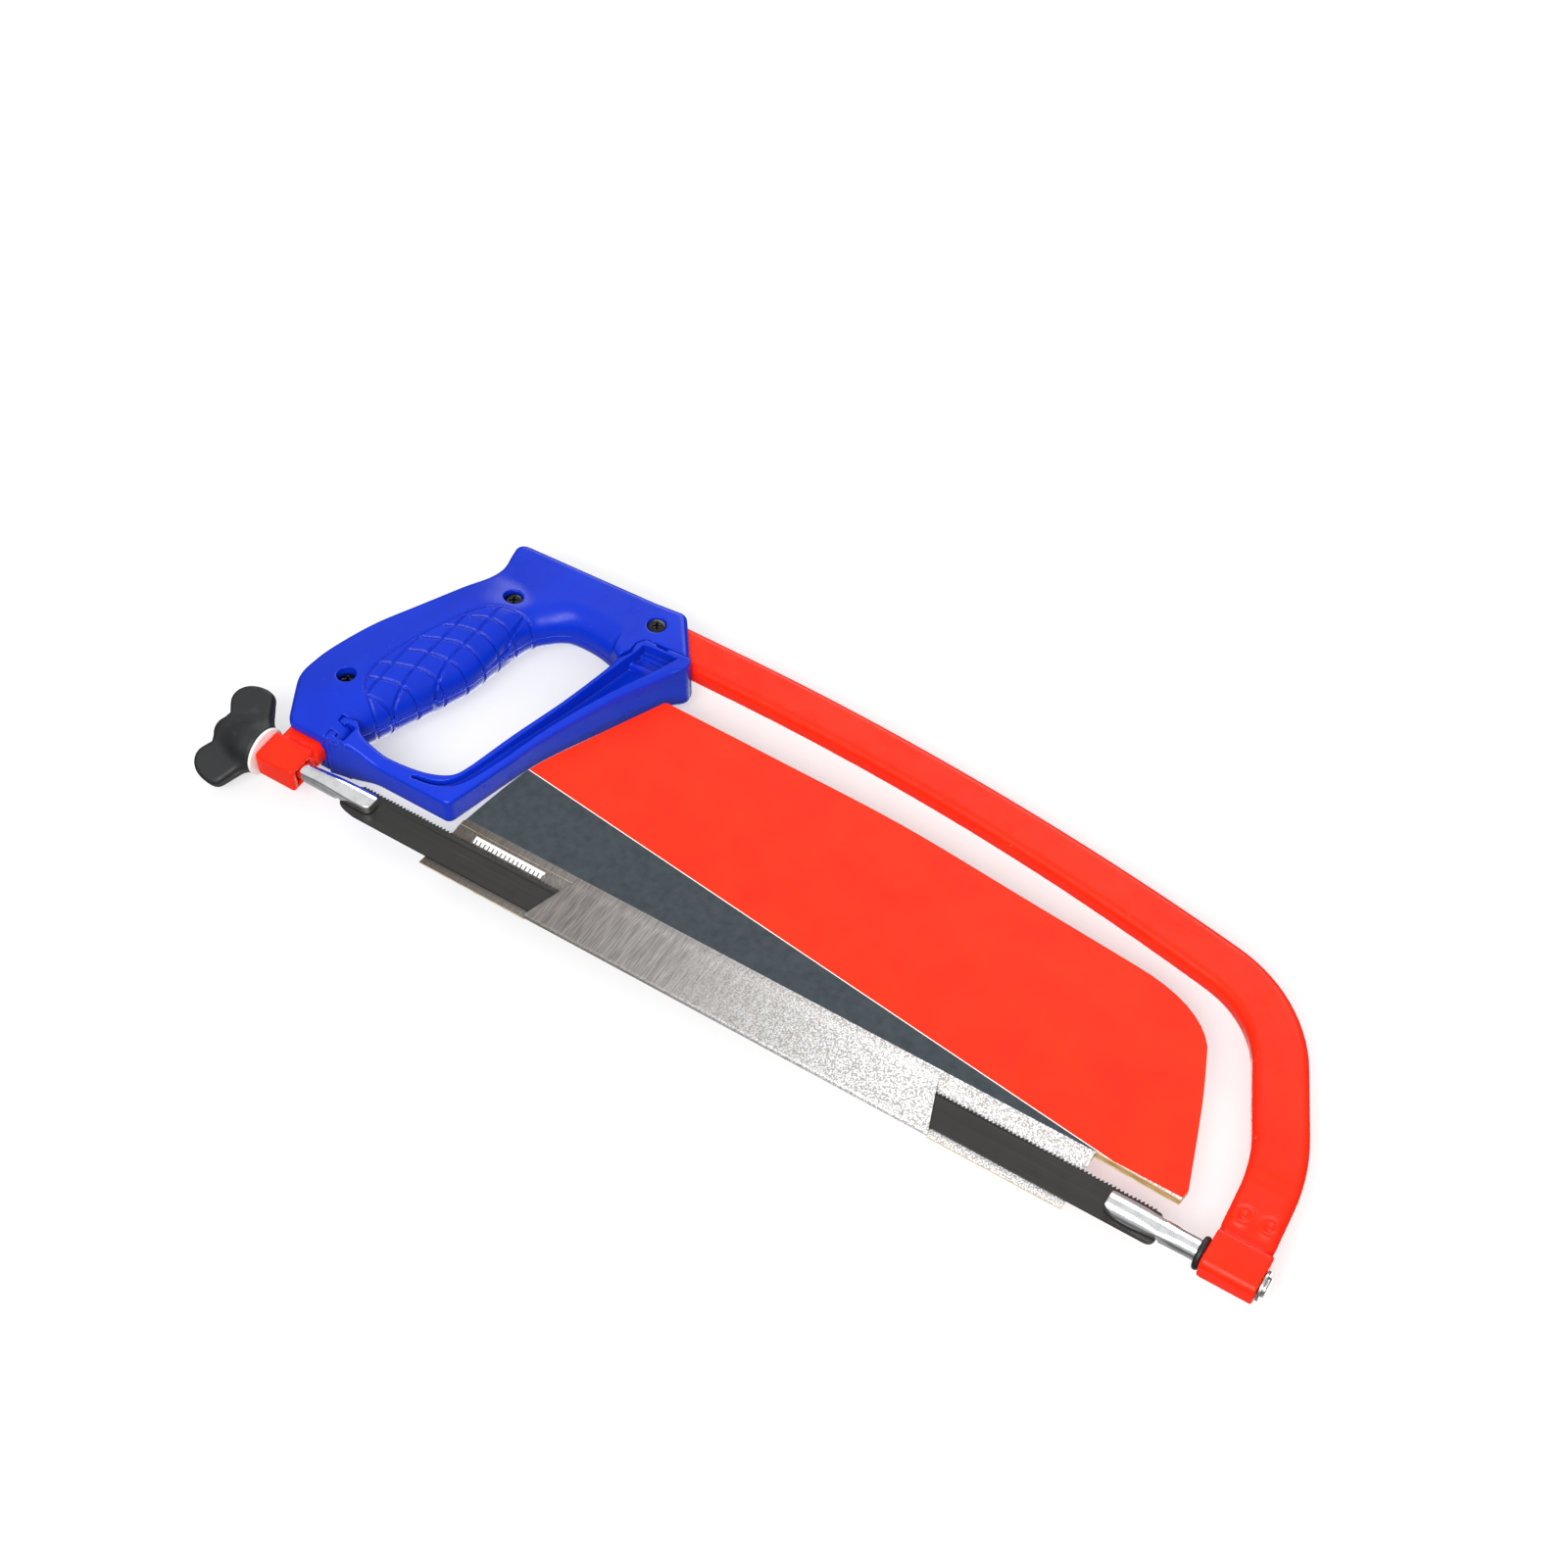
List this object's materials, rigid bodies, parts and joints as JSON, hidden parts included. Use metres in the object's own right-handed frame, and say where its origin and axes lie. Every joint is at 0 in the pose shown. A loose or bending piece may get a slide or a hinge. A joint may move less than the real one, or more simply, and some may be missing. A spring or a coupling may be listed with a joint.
{
  "type": "hacksaw",
  "caption": "Hacksaw with a bowed oval-tube frame, a closed D-handle, a wing nut for blade tension, a pinned blade and a plain retail card round the blade.",
  "frame": {"origin": "centre of the whole saw's bounding box", "axes": "+X along the blade from the wing nut to the front holder, +Z from the blade to the spine, +Y through the thickness (the pictured side faces -Y)"},
  "size_m": [0.406, 0.0268, 0.1438],
  "materials": {
    "frame_red": "glossy orange-red powder coat",
    "handle_blue": "satin moulded blue plastic",
    "screw_black": "glossy black-oxide steel",
    "washer_white": "white nylon",
    "wing_nut_black": "matt black moulded plastic",
    "zinc_steel": "bright zinc plate",
    "o_ring_rubber": "black rubber",
    "holder_chrome": "polished nickel-chrome plate",
    "blade_black": "black-painted carbon steel",
    "printed_card": "printed cardboard, orange-red over dark slate and silver; no lettering"
  },
  "bodies": {
    "frame": {"frame_tube": "frame_red", "handle_shell_left": "handle_blue", "handle_shell_right": "handle_blue", "knuckle_guard": "handle_blue", "handle_screw_rear": "screw_black", "handle_screw_middle": "screw_black", "handle_screw_front": "screw_black", "washer": "washer_white"},
    "wing_nut": {"wing_nut_body": "wing_nut_black", "wing_nut_insert": "zinc_steel"},
    "shank_seal": {"o_ring": "o_ring_rubber"},
    "blade_string": {"tension_bolt": "holder_chrome", "rear_blade_pin": "zinc_steel", "front_holder": "holder_chrome", "front_blade_pin": "zinc_steel", "retaining_ring": "zinc_steel", "blade": "blade_black", "retail_card": "printed_card"}
  },
  "joints": [
    {"name": "wing_nut_turn", "type": "hinge", "parent": "frame", "child": "wing_nut", "pos_m": [-0.18226, 0, -0.05334], "axis": [-1, 0, 0], "range_deg": [0, 1800]},
    {"name": "blade_angle", "type": "hinge", "parent": "frame", "child": "shank_seal", "pos_m": [0.18084, 0, -0.05334], "axis": [1, 0, 0], "range_deg": [0, 180]},
    {"name": "tension_slide", "type": "slide", "parent": "shank_seal", "child": "blade_string", "axis": [1, 0, 0], "range_m": [0, 0.005]}
  ],
  "couplings": [
    {"joint": "wing_nut_turn", "follows": "tension_slide", "rad_per_m": 6283.2}
  ]
}
